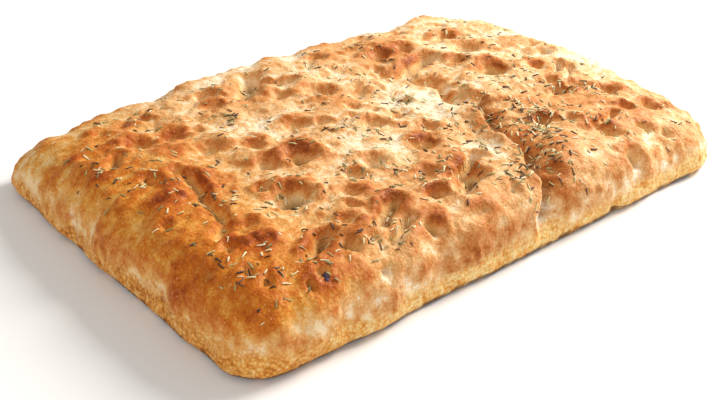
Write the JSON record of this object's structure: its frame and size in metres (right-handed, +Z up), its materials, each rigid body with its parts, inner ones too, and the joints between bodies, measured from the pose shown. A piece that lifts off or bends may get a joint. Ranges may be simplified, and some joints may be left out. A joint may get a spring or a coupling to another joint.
{
  "type": "rosemary focaccia",
  "caption": "Rectangular slab of focaccia with a domed, finger-dimpled crust, a fold across the top and dried rosemary needles.",
  "frame": {"origin": "on the floor under the middle of the slab's box", "axes": "+X along the slab's length, +Y across it, +Z up; the picture is taken from the -X, -Y side"},
  "size_m": [0.4072, 0.2908, 0.0535],
  "materials": {
    "crust": "baked bread crust, golden to orange brown, faintly oily"
  },
  "bodies": {
    "root": {"focaccia": "crust"}
  },
  "joints": []
}
